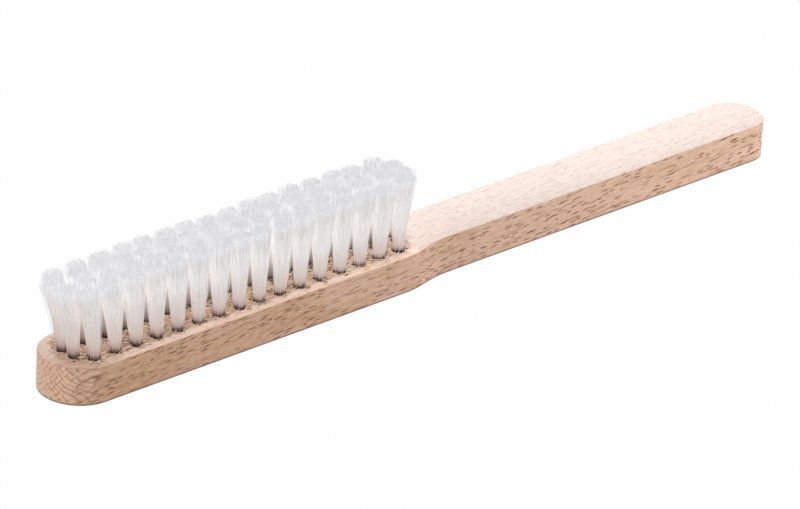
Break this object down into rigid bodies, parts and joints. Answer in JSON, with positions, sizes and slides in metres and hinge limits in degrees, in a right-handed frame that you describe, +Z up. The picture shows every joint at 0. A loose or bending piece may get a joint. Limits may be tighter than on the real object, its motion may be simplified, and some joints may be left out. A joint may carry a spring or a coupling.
{
  "type": "hand brush",
  "caption": "Slim wooden hand brush: a flat beech board with a round-tipped head of white nylon tufts in staggered rows, an ogee neck and a straight round-ended handle.",
  "frame": {"origin": "middle of the board's underside: half of the length and half of the head's width, on the plane that the brush rests on", "axes": "+X along the board from the head's tip to the handle's end, +Y across the board, +Z up from the underside to the bristle tips"},
  "size_m": [0.29, 0.0254, 0.0361],
  "materials": {
    "beech": "bare sanded beech, unvarnished, with short dark flecks along the grain",
    "nylon": "fine translucent white nylon filament, trimmed flat",
    "anchor_steel": "plain drawn flat wire"
  },
  "bodies": {
    "root": {"brush_block": "beech", "tuft_row_outer_front": "nylon", "tuft_row_inner_front": "nylon", "tuft_row_inner_back": "nylon", "tuft_row_outer_back": "nylon", "anchor_outer_front_01": "anchor_steel", "anchor_outer_front_02": "anchor_steel", "anchor_outer_front_03": "anchor_steel", "anchor_outer_front_04": "anchor_steel", "anchor_outer_front_05": "anchor_steel", "anchor_outer_front_06": "anchor_steel", "anchor_outer_front_07": "anchor_steel", "anchor_outer_front_08": "anchor_steel", "anchor_outer_front_09": "anchor_steel", "anchor_outer_front_10": "anchor_steel", "anchor_outer_front_11": "anchor_steel", "anchor_outer_front_12": "anchor_steel", "anchor_outer_front_13": "anchor_steel", "anchor_outer_front_14": "anchor_steel", "anchor_outer_front_15": "anchor_steel", "anchor_outer_front_16": "anchor_steel", "anchor_outer_back_01": "anchor_steel", "anchor_outer_back_02": "anchor_steel", "anchor_outer_back_03": "anchor_steel", "anchor_outer_back_04": "anchor_steel", "anchor_outer_back_05": "anchor_steel", "anchor_outer_back_06": "anchor_steel", "anchor_outer_back_07": "anchor_steel", "anchor_outer_back_08": "anchor_steel", "anchor_outer_back_09": "anchor_steel", "anchor_outer_back_10": "anchor_steel", "anchor_outer_back_11": "anchor_steel", "anchor_outer_back_12": "anchor_steel", "anchor_outer_back_13": "anchor_steel", "anchor_outer_back_14": "anchor_steel", "anchor_outer_back_15": "anchor_steel", "anchor_outer_back_16": "anchor_steel", "anchor_inner_pair_01": "anchor_steel", "anchor_inner_pair_02": "anchor_steel", "anchor_inner_pair_03": "anchor_steel", "anchor_inner_pair_04": "anchor_steel", "anchor_inner_pair_05": "anchor_steel", "anchor_inner_pair_06": "anchor_steel", "anchor_inner_pair_07": "anchor_steel", "anchor_inner_pair_08": "anchor_steel", "anchor_inner_pair_09": "anchor_steel", "anchor_inner_pair_10": "anchor_steel", "anchor_inner_pair_11": "anchor_steel", "anchor_inner_pair_12": "anchor_steel", "anchor_inner_pair_13": "anchor_steel", "anchor_inner_pair_14": "anchor_steel", "anchor_inner_pair_15": "anchor_steel", "anchor_inner_pair_16": "anchor_steel", "anchor_inner_pair_17": "anchor_steel"}
  },
  "joints": []
}
